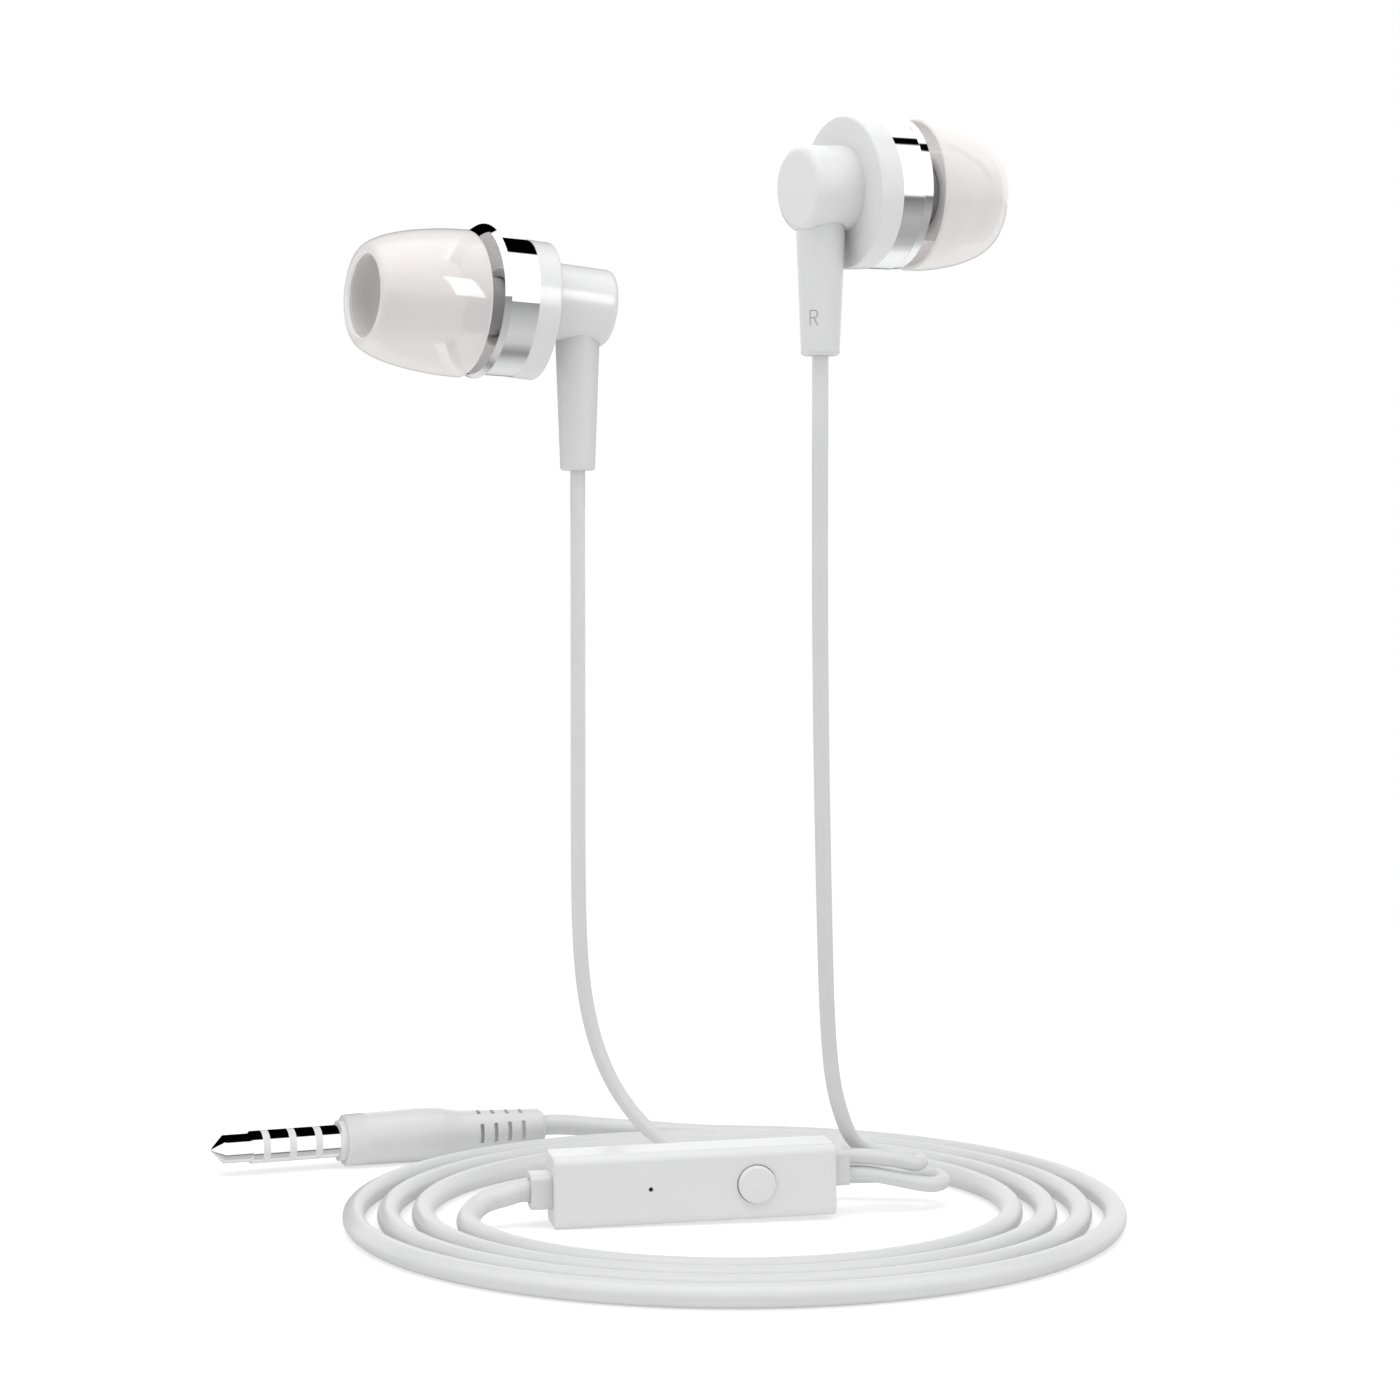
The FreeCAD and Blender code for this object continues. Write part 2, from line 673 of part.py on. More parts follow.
def plug_boot():
    """Boot with the solder core's chamber, strain relief slots and the held cable tail."""
    length, chamber = size("boot_length"), size("core_radius") + 0.02
    end, bulge = size("boot_end_radius"), size("boot_bulge_radius")
    neck, tail = size("boot_neck_radius"), size("boot_tail_radius")
    boot = turned("plug_boot", [
        (chamber, 0), (end - 0.18, 0), (end, 0.18), (bulge - 0.08, 5.0),
        (bulge, 8.5), (bulge - 0.12, 11.0), (neck, 13.2),
        (neck - 0.05, 14.5), (tail, length - 0.5), (tail - 0.35, length),
        (LEAD_HOLE, length), (LEAD_HOLE, 9.0), (chamber, 9.0)], boot_frame)
    cut_piece("plug_boot", boot, boot_slots())
    ring("plug_cable_tail", 0, size("lead_radius"), 9.1, length + 0.9, boot_frame)


plug_contacts()
plug_boot()

# ----------------------------------------------------------------------------------------------
# cables: one smooth centre line, swept with a round section
# ----------------------------------------------------------------------------------------------


def smooth(points):
    curve = Part.BSplineCurve()
    curve.interpolate([Vector(*point) for point in points])
    return curve


def cable(label, curve, first, last, radius, step=3.0, straight=0.0):
    """Ruled loft through evenly spaced circles between two curve parameters.

    A straight length at the end is spanned by a single stretch.
    """
    start = curve.length(curve.FirstParameter, first) if first > curve.FirstParameter else 0.0
    end = curve.length(curve.FirstParameter, last)
    count = max(4, int(math.ceil((end - start) / step)))
    stops = [start + (end - straight - start) * i / count for i in range(count + 1)]
    if straight:
        stops.append(end)
    parameters = [first] + [curve.parameterAtDistance(stop) for stop in stops[1:-1]] + [last]

    # The circles' seam direction is carried from one to the next so that the loft doesn't twist.
    seam = Vector(0, 0, 1).cross(curve.tangent(first)[0])
    if seam.Length < 0.1:
        seam = Vector(1, 0, 0)
    seam.normalize()
    sections = []
    for parameter in parameters:
        centre = curve.value(parameter)
        centre.z = max(centre.z, radius + 0.01)     # stay above the floor
        tangent = curve.tangent(parameter)[0]
        seam = seam - tangent * seam.dot(tangent)
        seam.normalize()
        section = Part.Circle(centre, tangent, radius)
        section.XAxis = seam
        sections.append(Part.Wire([section.toShape()]))
    shape = Part.makeLoft(sections, True, True)
    if shape.Volume < 0:
        shape.reverse()
    piece(solid_feature(label, shape.Solids[0]))


def length_to(curve, target):
    """Arc length from the start to the sampled point nearest the target."""
    total, samples = curve.length(), 1500
    lengths = [total * i / samples for i in range(samples + 1)]

    def distance(length):
        return (curve.value(curve.parameterAtDistance(length)) - Vector(*target)).Length

    return min(lengths, key=distance)


def coil_points():
    """3.6 turns on the floor, clockwise seen from above, winding inward after angle 0."""
    points = []
    for degrees in range(86, -1211, -16):
        radius = (mm("coil_radius") + 0.2 * max(0.0, degrees) / 90.0
                  - mm("coil_pitch") * max(0.0, -degrees) / 360.0)
        angle = math.radians(degrees)
        points.append((mm("coil_shift_x") + radius * math.cos(angle),
                       mm("coil_shift_y") + radius * math.sin(angle),
                       mm("lead_radius") + 0.01))
    return points


def lead_cable():
    """From the boot along the back, round the coil, up into the remote's left collar."""
    collar_end = -mm("collar_left_length")
    through_collar = [remote.multVec(Vector(x, LEAD_HOLE_Y, 0.0)) for x in (
        collar_end - 1.0, collar_end - 0.5, collar_end, -1.2, -0.3)]
    outside = through_collar[0]
    points = [BOOT_TAIL - PLUG_DIRECTION * 1.7]
    points += [(-15.5, 37.1, 2.35), (-9.5, 38.05, 1.75), (-4.0, 38.45, 1.3)]
    points += coil_points()
    points += [(-23.9, -15.3, 1.16), (-25.9, -11.2, 1.35), (-26.2, -8.1, 1.8),
               (-24.9, -5.9, 2.75), (outside.x - 0.9, outside.y - 0.35, 3.35)]
    points += through_collar
    curve = smooth(points)
    cable("lead_cable", curve, curve.FirstParameter, curve.LastParameter, mm("lead_radius"),
          step=5.0, straight=2.7)


# Stations (x, y, z) of the ear cables between the right collar and the stems:
# one loop on the floor side, then up to the earbud.
LEFT_STATIONS = [
    (15.0, 2.2, 3.75), (17.8, 2.7, 3.1), (20.2, 3.6, 2.6), (21.3, 5.0, 2.6),
    (21.1, 6.7, 2.75), (19.3, 8.0, 2.75), (15.5, 8.5, 2.6), (10.0, 8.9, 2.4),
    (4.0, 9.8, 2.4), (-1.5, 11.2, 3.0), (-5.5, 12.6, 4.2), (-8.6, 13.8, 6.1),
    (-11.3, 14.9, 8.9), (-13.2, 15.6, 12.0), (-14.6, 16.1, 15.6), (-15.6, 16.4, 20.0),
    (-16.15, 16.7, 25.5), (-16.35, 17.0, 33.0), (-16.38, 17.5, 46.0), (-16.38, 17.9, 60.0),
]
RIGHT_STATIONS = [
    (15.0, 2.25, 5.6), (17.0, 2.75, 5.2), (18.4, 3.4, 4.8), (19.0, 4.3, 4.8),
    (18.5, 5.2, 4.95), (17.0, 5.5, 5.15), (15.0, 5.3, 5.55), (13.3, 4.8, 6.15),
    (12.2, 4.1, 7.1), (11.5, 3.3, 8.3), (10.9, 2.3, 9.9), (10.2, 1.1, 12.4),
    (9.65, -0.3, 15.8), (9.25, -2.0, 20.5), (8.9, -4.6, 28.0), (8.5, -8.0, 40.0),
    (8.15, -11.5, 54.0), (7.95, -14.4, 67.0),
]
HALF_SPLIT = 0.4        # half the gap between a cable's lower and upper parts


def ear_cable(side, hole_y, stations, split_near, foot):
    """Cable from the right collar to a stem, parted at the point nearest split_near."""
    remote_end = mm("remote_length")
    collar_end = remote_end + mm("collar_right_length")
    points = [remote.multVec(Vector(x, hole_y, 0.0)) for x in (
        remote_end + 0.3, collar_end, collar_end + 0.8)]
    top = foot - Vector(0, 0, 1.9)
    curve = smooth(points + stations + [top - Vector(0, 0, 4.0), top])
    split = length_to(curve, split_near)
    lower_end = curve.parameterAtDistance(split - HALF_SPLIT)
    upper_start = curve.parameterAtDistance(split + HALF_SPLIT)
    radius = mm("ear_radius")
    cable(side + "_cable_lower", curve, curve.FirstParameter, lower_end, radius)
    cable(side + "_cable_upper", curve, upper_start, curve.LastParameter, radius)


lead_cable()
ear_cable("left", EAR_HOLES_Y - EAR_HOLE_OFFSET, LEFT_STATIONS, (-14.8, 16.15, 16.5),
          left_earbud.foot)
ear_cable("right", EAR_HOLES_Y + EAR_HOLE_OFFSET, RIGHT_STATIONS, (9.55, -0.7, 17.0),
          right_earbud.foot)

# ----------------------------------------------------------------------------------------------
# check and write
# ----------------------------------------------------------------------------------------------
doc.recompute()
problems = ["%s (%s) %s" % (obj.Name, obj.Label, obj.State) for obj in doc.Objects
            if "Invalid" in obj.State or "Error" in obj.State]
problems += ["bad shape " + obj.Label for obj in PIECES
             if obj.Shape.isNull() or not obj.Shape.isValid() or not obj.Shape.Solids]
if problems:
    raise RuntimeError("part has problems: " + "; ".join(problems))

os.makedirs("parts", exist_ok=True)
for obj in PIECES:
    obj.Shape.exportStep("parts/%s.step" % obj.Label)
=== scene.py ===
# A pair of in-ear earphones with their cable, shown upright over a white floor.
# The floor is z = 0. The camera stands on the -Y side and looks along +Y, so -X is left
# and -Y is front. The lead is coiled flat round the origin, its plug lies on the left, and
# two thin cables rise from a small junction box to the earbuds.
# Shapes are given in millimetres and scaled by MM; lights and camera are in metres.
import bpy, bmesh, math, json
import numpy as np
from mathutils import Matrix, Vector


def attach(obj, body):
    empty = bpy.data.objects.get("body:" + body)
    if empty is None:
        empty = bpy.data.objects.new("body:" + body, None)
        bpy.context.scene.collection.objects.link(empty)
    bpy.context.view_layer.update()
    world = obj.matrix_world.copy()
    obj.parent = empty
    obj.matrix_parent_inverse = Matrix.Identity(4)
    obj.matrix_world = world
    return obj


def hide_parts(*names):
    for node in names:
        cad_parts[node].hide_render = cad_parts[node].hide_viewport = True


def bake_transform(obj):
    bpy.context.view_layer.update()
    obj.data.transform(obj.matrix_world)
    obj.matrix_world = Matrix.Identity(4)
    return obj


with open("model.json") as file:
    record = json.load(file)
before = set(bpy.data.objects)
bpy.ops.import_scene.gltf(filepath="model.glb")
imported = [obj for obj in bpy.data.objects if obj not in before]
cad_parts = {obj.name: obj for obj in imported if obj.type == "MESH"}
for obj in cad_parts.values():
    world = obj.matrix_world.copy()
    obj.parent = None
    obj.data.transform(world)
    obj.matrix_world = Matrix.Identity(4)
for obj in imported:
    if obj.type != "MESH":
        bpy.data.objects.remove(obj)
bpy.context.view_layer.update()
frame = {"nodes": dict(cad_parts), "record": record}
MM = 0.001
UP = np.array([0.0, 0.0, 1.0])


# ------------------------------------------------------------------ node helpers
def add_node(tree, kind, inputs=None, **settings):
    """Shader node. An input takes a value, an output socket, or a node (its first output)."""
    node = tree.nodes.new("ShaderNode" + kind)
    for name, value in settings.items():
        setattr(node, name, value)
    for key, value in (inputs or {}).items():
        if isinstance(value, bpy.types.Node):
            value = value.outputs[0]
        if isinstance(value, bpy.types.NodeSocket):
            tree.links.new(value, node.inputs[key])
        else:
            node.inputs[key].default_value = value
    return node


def calc(tree, operation, *values):
    """Math node on the values, given in input order."""
    return add_node(tree, "Math", dict(enumerate(values)), operation=operation)


def mix_shaders(tree, factor, first, second):
    return add_node(tree, "MixShader", {"Fac": factor, 1: first, 2: second})


def start_tree(owner, output_kind="OutputMaterial"):
    """Empty node tree of a material or world, with the surface socket to link to."""
    owner.use_nodes = True
    tree = owner.node_tree
    tree.nodes.clear()
    return tree, add_node(tree, output_kind).inputs["Surface"]


def noise(tree, coords, scale, detail):
    return add_node(tree, "TexNoise", {"Vector": coords, "Scale": scale, "Detail": detail})


def bump(tree, height, strength, distance):
    return add_node(tree, "Bump", {"Height": height, "Strength": strength, "Distance": distance})


def spread(tree, value, low, high):
    """Map a 0..1 value onto low..high."""
    return add_node(tree, "MapRange", {"Value": value, "To Min": low, "To Max": high})


def tone_ramp(tree, factor, colour, shade, start=0.0, end=1.0):
    """Ramp from the colour times shade up to the full colour."""
    ramp = add_node(tree, "ValToRGB", {"Fac": factor})
    dark, light = ramp.color_ramp.elements
    dark.color = (*[c * shade for c in colour], 1)
    light.color = (*colour, 1)
    dark.position = start
    light.position = end
    return ramp


def angle_ramp(tree, angle, stops):
    """Grey tone by angle; stops are (degrees from -180 to 180, brightness)."""
    turn = add_node(tree, "MapRange",
                    {"Value": angle, "From Min": -math.pi, "From Max": math.pi})
    ramp = add_node(tree, "ValToRGB", {"Fac": turn})
    elements = ramp.color_ramp.elements
    while len(elements) > 1:
        elements.remove(elements[0])
    elements[0].position = 0.0
    elements[0].color = (*[stops[0][1]] * 3, 1)
    for degrees, tone in stops[1:]:
        element = elements.new((degrees + 180.0) / 360.0)
        element.color = (tone, tone, tone, 1)
    return ramp


# ------------------------------------------------------------------ materials
def plastic(name, colour, rough, coat=0.3, scale=900.0, grain=0.03, spec=0.5):
    """Moulded plastic: faint tone variation, uneven gloss and a fine surface grain."""
    material = bpy.data.materials.new(name)
    tree, surface = start_tree(material)
    coords = add_node(tree, "TexCoord").outputs["Object"]
    broad = noise(tree, coords, scale=scale * 0.12, detail=3.0)
    fine = noise(tree, coords, scale=scale, detail=4.0)
    shader = add_node(tree, "BsdfPrincipled", {
        "Base Color": tone_ramp(tree, broad, colour, shade=0.97, start=0.3, end=0.7),
        "Roughness": spread(tree, broad, low=rough - 0.02, high=rough + 0.02),
        "Normal": bump(tree, fine, strength=grain, distance=0.00005),
        "Coat Weight": coat,
        "Coat Roughness": 0.08,
        "Specular IOR Level": spec})
    tree.links.new(shader.outputs[0], surface)
    return material


def metal(name, colour, rough, grain=0.01):
    """Metal with slightly uneven polish and tone."""
    material = bpy.data.materials.new(name)
    tree, surface = start_tree(material)
    coords = add_node(tree, "TexCoord").outputs["Object"]
    polish = noise(tree, coords, scale=350.0, detail=5.0)
    shader = add_node(tree, "BsdfPrincipled", {
        "Metallic": 1.0,
        "Roughness": spread(tree, polish, low=rough * 0.6, high=rough * 1.4),
        "Base Color": tone_ramp(tree, polish, colour, shade=0.96),
        "Normal": bump(tree, polish, strength=grain, distance=0.00003)})
    tree.links.new(shader.outputs[0], surface)
    return material


def silicone(name, colour, clear, rough, through):
    """Soft silicone: part clear, part milky, with a soft sheen on top.

    clear is the see-through share face on, through the share of light the milky body passes.
    """
    material = bpy.data.materials.new(name)
    tree, surface = start_tree(material)
    coords = add_node(tree, "TexCoord").outputs["Object"]
    mottle = noise(tree, coords, scale=260.0, detail=3.0)
    fine = noise(tree, coords, scale=2500.0, detail=3.0)
    grain = bump(tree, fine, strength=0.03, distance=0.00003)
    tone = tone_ramp(tree, mottle, colour, shade=0.97)
    diffuse = add_node(tree, "BsdfDiffuse", {"Color": tone, "Normal": grain})
    translucent = add_node(tree, "BsdfTranslucent", {"Color": tone, "Normal": grain})
    body = mix_shaders(tree, through, diffuse, translucent)
    glass = add_node(tree, "BsdfTransparent", {"Color": (0.98, 0.970, 0.969, 1)})
    # less is seen through the wall where it turns edge on
    facing = add_node(tree, "LayerWeight", {"Blend": 0.45, "Normal": grain}).outputs["Facing"]
    clarity = spread(tree, facing, low=clear, high=clear * 0.15)
    wall = mix_shaders(tree, clarity, body, glass)
    gloss = add_node(tree, "BsdfGlossy",
                     {"Roughness": rough, "Color": (1, 1, 1, 1), "Normal": grain})
    fresnel = add_node(tree, "Fresnel", {"IOR": 1.42, "Normal": grain})
    # sheen on the outside of the wall only
    backfacing = add_node(tree, "NewGeometry").outputs["Backfacing"]
    outside = calc(tree, "SUBTRACT", 1.0, backfacing)
    sheen = calc(tree, "MULTIPLY", fresnel, outside)
    top = mix_shaders(tree, sheen, wall, gloss)
    tree.links.new(top.outputs[0], surface)
    return material


MATERIALS = {   # by material slot
    "white_gloss": plastic("white_gloss", (0.655, 0.655, 0.658), rough=0.22, coat=0.10, spec=0.35),
    "white_soft": plastic("white_soft", (0.60, 0.60, 0.603), rough=0.30, coat=0.12, grain=0.05),
    "cable": plastic("cable_jacket", (0.59, 0.59, 0.593), rough=0.34, coat=0.12, grain=0.06,
                     scale=1400.0),
    "chrome": metal("chrome", (0.93, 0.93, 0.94), rough=0.035),
    "steel": metal("steel", (0.55, 0.55, 0.56), rough=0.3, grain=0.05),
    "copper": metal("copper", (0.72, 0.42, 0.2), rough=0.3, grain=0.05),
    "grey_plastic": plastic("nozzle_grey", (0.30, 0.30, 0.31), rough=0.25, coat=0.4),
    "black_plastic": plastic("black_plastic", (0.02, 0.02, 0.02), rough=0.4),
    "board": plastic("board_green", (0.03, 0.16, 0.07), rough=0.5),
    "film": plastic("film", (0.6, 0.6, 0.55), rough=0.3),
    "silicone": silicone("silicone_skirt", (0.795, 0.773, 0.771), clear=0.55, rough=0.05,
                         through=0.15),
}
MATERIALS["black_rubber"] = MATERIALS["black_plastic"]
# Core silicone: less clear than the skirt, as a thick wall is. Its darker colour is painted shade
# for the inside of the tip and its bore.
CORE_PAINTED_SHADE = silicone("silicone_core_painted_shade", (0.64, 0.622, 0.620), clear=0.06, rough=0.25, through=0.1)
INK = plastic("grey_ink", (0.32, 0.32, 0.33), rough=0.5, coat=0.0)

slot_of = {part["node"]: part["material_slot"] for part in frame["record"]["subparts"]}
for name, piece in frame["nodes"].items():
    piece.data.materials.clear()
    piece.data.materials.append(MATERIALS[slot_of.get(name, "white_gloss")])


# ------------------------------------------------------------------ mesh helpers
def link_object(name, data):
    obj = bpy.data.objects.new(name, data)
    bpy.context.scene.collection.objects.link(obj)
    return obj


def mesh_object(name, verts, faces, material, smooth=True):
    """Mesh from vertices in metres, its normals facing out."""
    mesh = bpy.data.meshes.new(name)
    mesh.from_pydata([tuple(v) for v in verts], [], faces)
    mesh.update()
    bm = bmesh.new()
    bm.from_mesh(mesh)
    bmesh.ops.recalc_face_normals(bm, faces=bm.faces)
    bm.to_mesh(mesh)
    bm.free()
    if smooth:
        for polygon in mesh.polygons:
            polygon.use_smooth = True
    obj = link_object(name, mesh)
    mesh.materials.append(material)
    return obj


def spline(points, step):
    """Natural cubic through the points by chord length, sampled evenly; returns Nx3 in mm."""
    P = np.array(points, float)
    n = len(P)
    dist = np.concatenate([[0], np.cumsum(np.linalg.norm(np.diff(P, axis=0), axis=1))])
    h = np.diff(dist)
    # solve for the second derivatives M, which are zero at both ends
    A = np.zeros((n, n))
    B = np.zeros((n, 3))
    A[0, 0] = A[-1, -1] = 1
    for i in range(1, n - 1):
        A[i, i - 1] = h[i - 1]
        A[i, i] = 2 * (h[i - 1] + h[i])
        A[i, i + 1] = h[i]
        B[i] = 6 * ((P[i + 1] - P[i]) / h[i] - (P[i] - P[i - 1]) / h[i - 1])
    M = np.linalg.solve(A, B)
    samples = []
    for x in np.linspace(0, dist[-1], int(dist[-1] / step) + 2):
        i = min(n - 2, max(0, int(np.searchsorted(dist, x) - 1)))
        ahead, behind = dist[i + 1] - x, x - dist[i]
        samples.append(M[i] * ahead ** 3 / (6 * h[i]) + M[i + 1] * behind ** 3 / (6 * h[i])
                       + (P[i] / h[i] - M[i] * h[i] / 6) * ahead
                       + (P[i + 1] / h[i] - M[i + 1] * h[i] / 6) * behind)
    return np.array(samples)


def rounded_profile(points, count):
    """Smooth run of about count steps through (radius, height) points."""
    flat = np.array([(radius, height, 0.0) for radius, height in points])
    length = np.linalg.norm(np.diff(flat, axis=0), axis=1).sum()
    return [(p[0], p[1]) for p in spline(flat, length / count)]


FLOOR_GAP = 0.01    # clearance of a resting cable, mm


def tube(name, line, radius, sides=24):
    """Round cable skin along a centre line in mm, kept above the floor, with flat ends."""
    line = line.copy()
    line[:, 2] = np.maximum(line[:, 2], radius + FLOOR_GAP)
    tangent = np.gradient(line, axis=0)
    tangent /= np.linalg.norm(tangent, axis=1)[:, None]
    side = np.cross(UP, tangent[0])
    if np.linalg.norm(side) < 0.1:      # the line starts nearly upright
        side = np.array([1.0, 0, 0])
    verts, faces = [], []
    for centre, along in zip(line, tangent):
        side = side - along * side.dot(along)
        side /= np.linalg.norm(side)
        across = np.cross(along, side)
        for k in range(sides):
            a = 2 * math.pi * k / sides
            verts.append((centre + radius * (math.cos(a) * side + math.sin(a) * across)) * MM)
    for i in range(len(line) - 1):
        for k in range(sides):
            a, b = i * sides + k, i * sides + (k + 1) % sides
            faces.append((a, b, b + sides, a + sides))
    # flat ends carry their own corners, so the skin stays evenly lit up to them
    for ring in (0, (len(line) - 1) * sides):
        base = len(verts)
        verts += verts[ring:ring + sides]
        faces.append(tuple(range(base, base + sides)))
    return mesh_object(name, verts, faces, MATERIALS["cable"])


def revolve(name, profile, origin, axis, material, sides=160):
    """Closed (radius, height) profile in mm turned about the axis through the origin."""
    z = np.array(axis, float)
    z /= np.linalg.norm(z)
    x = np.cross(UP, z)
    x /= np.linalg.norm(x)
    y = np.cross(z, x)
    verts, faces = [], []
    for r, h in profile:
        for k in range(sides):
            a = 2 * math.pi * k / sides
            verts.append((origin + x * r * math.cos(a) + y * r * math.sin(a) + z * h) * MM)
    for i in range(len(profile)):
        j = (i + 1) % len(profile)
        for k in range(sides):
            m = (k + 1) % sides
            faces.append((i * sides + k, i * sides + m, j * sides + m, j * sides + k))
    return mesh_object(name, verts, faces, material)


# ------------------------------------------------------------------ junction box frame
# The box is turned a little from the X axis and tipped up at its right end.
yaw, tilt = math.radians(10.2), math.radians(1.0)
box_along = np.array([math.cos(yaw) * math.cos(tilt), math.sin(yaw) * math.cos(tilt),
                      math.sin(tilt)])
box_back = np.array([-math.sin(yaw), math.cos(yaw), 0.0])
box_up = np.cross(box_along, box_back)
box_corner = np.array([-17.84, -6.65, 0.0])
BOX_HALF_DEPTH = 2.9
box_start = box_corner + box_back * BOX_HALF_DEPTH
BOX_LENGTH = 28.6
EAR_HOLE_HEIGHT = 4.5
EAR_HOLE_OFFSET = 0.87      # each ear cable leaves this far below or above that height
LEAD_HOLE_HEIGHT = 3.6


def box_point(along, up):
    """Point in the box's middle plane, measured from its left end."""
    return box_start + box_along * along + box_up * up


# ------------------------------------------------------------------ ear cables
EAR_CABLE_RADIUS = 0.78
LEFT_FOOT = (-16.38, 18.0, 75.5)        # where the cable enters the earbud stem
RIGHT_FOOT = (7.85, -17.0, 85.64)

# Centre lines from the box, round the loop and up to the earbud: x, y, z
LEFT_LINE = [
    (15.0, 2.2, 3.75), (17.8, 2.7, 3.1), (20.2, 3.6, 2.6), (21.3, 5.0, 2.6),
    (21.1, 6.7, 2.75), (19.3, 8.0, 2.75), (15.5, 8.5, 2.6), (10.0, 8.9, 2.4),
    (4.0, 9.8, 2.4), (-1.5, 11.2, 3.0), (-5.5, 12.6, 4.2), (-8.6, 13.8, 6.1),
    (-11.3, 14.9, 8.9), (-13.2, 15.6, 12.0), (-14.6, 16.1, 15.6), (-15.6, 16.4, 20.0),
    (-16.15, 16.7, 25.5), (-16.35, 17.0, 33.0), (-16.38, 17.5, 46.0), (-16.38, 17.9, 60.0)]
RIGHT_LINE = [
    (15.0, 2.25, 5.6), (17.0, 2.75, 5.2), (18.4, 3.4, 4.8), (19.0, 4.3, 4.8),
    (18.5, 5.2, 4.95), (17.0, 5.5, 5.15), (15.0, 5.3, 5.55), (13.3, 4.8, 6.15),
    (12.2, 4.1, 7.1), (11.5, 3.3, 8.3), (10.9, 2.3, 9.9), (10.2, 1.1, 12.4),
    (9.65, -0.3, 15.8), (9.25, -2.0, 20.5), (8.9, -4.6, 28.0), (8.5, -8.0, 40.0),
    (8.15, -11.5, 54.0), (7.95, -14.4, 67.0)]


def ear_cable(side, hole_height, line, pivot, foot, split_height):
    """Cable from the box to one earbud, cut in two at split_height."""
    pivot, foot = np.array(pivot), np.array(foot)
    head = [box_point(BOX_LENGTH + reach, hole_height) for reach in (0.3, 1.6, 2.4)]
    end = [foot + UP * rise for rise in (-5.9, -1.9, 2.0, 5.0)]
    centre = spline(head + line + end, step=0.3)
    split = int(np.argmax(centre[:, 2] > split_height))
    low = tube(side + "_cable_lower_skin", centre[:split + 1], EAR_CABLE_RADIUS)
    high = tube(side + "_cable_upper_skin", centre[split:], EAR_CABLE_RADIUS)
    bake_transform(low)
    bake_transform(high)
    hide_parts(side + "_cable_lower")
    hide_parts(side + "_cable_upper", side + "_cable_end")


ear_cable("left", EAR_HOLE_HEIGHT - EAR_HOLE_OFFSET, LEFT_LINE,
          pivot=(-14.856, 16.18, 16.493), foot=LEFT_FOOT, split_height=42.0)
ear_cable("right", EAR_HOLE_HEIGHT + EAR_HOLE_OFFSET, RIGHT_LINE,
          pivot=(9.526, -0.738, 16.961), foot=RIGHT_FOOT, split_height=48.0)

# ------------------------------------------------------------------ lead
LEAD_RADIUS = 1.13
COIL_CENTRE = (-0.86, -0.65)
COIL_RADIUS = 38.96
COIL_PITCH = 3.44           # inward per turn
COIL_FLARE = 0.2            # extra radius a quarter turn before angle zero
TAIL_END_X = -8.0           # the tail ends and the coil begins here


def coil_points():
    """Clockwise inward spiral on the floor, seen from above."""
    points = []
    for degrees in range(86, -1211, -16):
        radius = (COIL_RADIUS + COIL_FLARE * max(0.0, degrees) / 90.0
                  - COIL_PITCH * max(0.0, -degrees) / 360.0)
        a = math.radians(degrees)
        points.append((COIL_CENTRE[0] + radius * math.cos(a),
                       COIL_CENTRE[1] + radius * math.sin(a), LEAD_RADIUS + FLOOR_GAP))
    return points


def lead():
    """Lead from inside the plug's boot, round the coil and into the left end of the box."""
    to_plug = np.array([-0.922, -0.387, 0.0])
    to_plug /= np.linalg.norm(to_plug)
    boot_tail = np.array([-21.2, 35.2, 2.85])
    path = [boot_tail + to_plug * reach for reach in (6.0, 2.0, -1.7)]
    path += [(-15.5, 37.1, 2.35), (-9.5, 38.05, 1.75), (-4.0, 38.45, 1.3)]
    path += coil_points()
    inlet = [box_point(along, LEAD_HOLE_HEIGHT) for along in (-3.1, -2.6, -2.1, -1.2, -0.3)]
    # rise from the coil to the box
    path += [(-23.9, -15.3, 1.16), (-25.9, -11.2, 1.35), (-26.2, -8.1, 1.8),
             (-24.9, -5.9, 2.75), (inlet[0][0] - 0.9, inlet[0][1] - 0.35, 3.35)]
    centre = spline(path + inlet, step=0.45)
    split = int(np.argmax(centre[:, 0] > TAIL_END_X))
    tail = tube("lead_tail_skin", centre[:split + 1], LEAD_RADIUS, sides=28)
    coil = tube("lead_coil_skin", centre[split:], LEAD_RADIUS, sides=28)
    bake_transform(tail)
    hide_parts("plug_cable_tail")
    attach(coil, "base")
    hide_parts("lead_cable")


lead()


